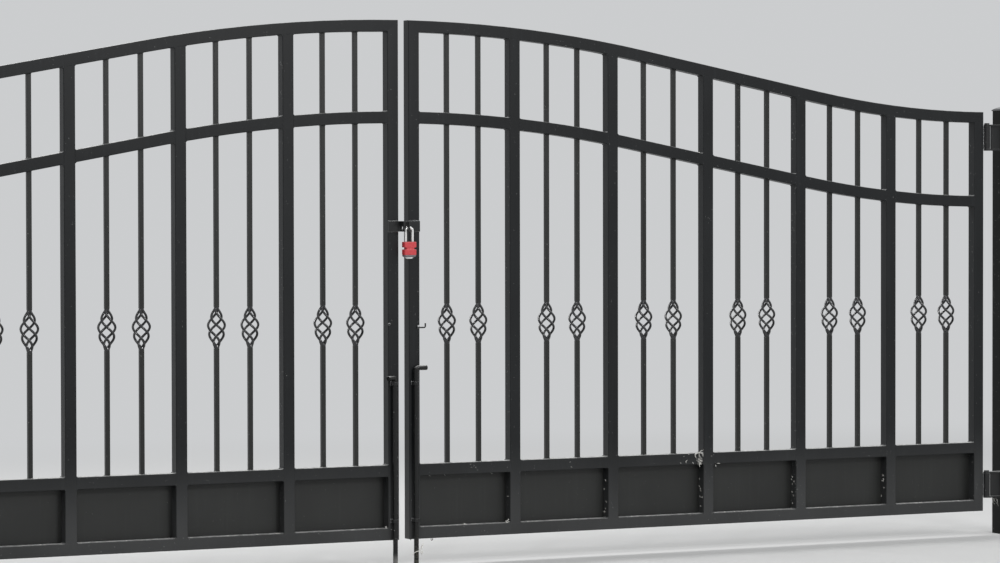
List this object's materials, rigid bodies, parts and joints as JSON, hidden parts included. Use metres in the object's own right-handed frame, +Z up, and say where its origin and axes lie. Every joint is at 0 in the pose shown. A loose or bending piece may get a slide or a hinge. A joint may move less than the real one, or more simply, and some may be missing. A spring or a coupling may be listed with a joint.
{
  "type": "aluminium double swing gate",
  "caption": "Double swing driveway gate with a bell-curve top, square pickets with twisted baskets, kick panels, drop rods, a padlock and square posts.",
  "frame": {"origin": "centre of the right post's foot, on the ground", "axes": "+X to the right along the gate as seen from its front, +Y through the gate away from the front, +Z up"},
  "size_m": [4.9094, 0.1102, 1.767],
  "materials": {
    "frame_paint": "satin black powder coat, dusty",
    "panel_paint": "satin black powder coat, dusty",
    "picket_paint": "satin black powder coat",
    "post_paint": "satin black powder coat",
    "hardware_paint": "brushed-on satin black paint",
    "padlock_red": "red coating with worn edges",
    "padlock_grey": "grey bumper",
    "padlock_steel": "bright plated steel"
  },
  "bodies": {
    "posts": {"right_post": "post_paint", "right_post_cap": "post_paint", "right_lower_hinge_bracket": "hardware_paint", "right_upper_hinge_bracket": "hardware_paint", "left_post": "post_paint", "left_post_cap": "post_paint", "left_lower_hinge_bracket": "hardware_paint", "left_upper_hinge_bracket": "hardware_paint"},
    "right_leaf": {"right_top_rail": "frame_paint", "right_middle_rail": "frame_paint", "right_lower_rail": "frame_paint", "right_bottom_rail": "frame_paint", "right_meeting_stile": "frame_paint", "right_hinge_stile": "frame_paint", "right_uprights": "frame_paint", "right_kick_panels": "panel_paint", "right_pickets": "picket_paint", "right_baskets": "picket_paint", "right_hinge_barrels": "hardware_paint", "right_rod_guides": "hardware_paint", "right_rod_hook": "hardware_paint", "right_lock_tab": "hardware_paint", "padlock_body": "padlock_red", "padlock_bumper": "padlock_grey", "padlock_shackle": "padlock_steel"},
    "left_leaf": {"left_top_rail": "frame_paint", "left_middle_rail": "frame_paint", "left_lower_rail": "frame_paint", "left_bottom_rail": "frame_paint", "left_meeting_stile": "frame_paint", "left_hinge_stile": "frame_paint", "left_uprights": "frame_paint", "left_kick_panels": "panel_paint", "left_pickets": "picket_paint", "left_baskets": "picket_paint", "left_hinge_barrels": "hardware_paint", "left_rod_guides": "hardware_paint", "left_rod_hook": "hardware_paint", "left_lock_tab": "hardware_paint"},
    "right_rod": {"right_drop_rod": "hardware_paint"},
    "left_rod": {"left_drop_rod": "hardware_paint"}
  },
  "joints": [
    {"name": "right_leaf_swing", "type": "hinge", "parent": "posts", "child": "right_leaf", "pos_m": [-0.1223, -0.01905, 0], "axis": [0, 0, 1], "range_deg": [0, 90]},
    {"name": "left_leaf_swing", "type": "hinge", "parent": "posts", "child": "left_leaf", "pos_m": [-4.6795, -0.01905, 0], "axis": [0, 0, -1], "range_deg": [0, 90]},
    {"name": "right_rod_lift", "type": "slide", "parent": "right_leaf", "child": "right_rod", "axis": [0, 0, 1], "range_m": [0, 0.115]},
    {"name": "left_rod_lift", "type": "slide", "parent": "left_leaf", "child": "left_rod", "axis": [0, 0, 1], "range_m": [0, 0.155]}
  ]
}
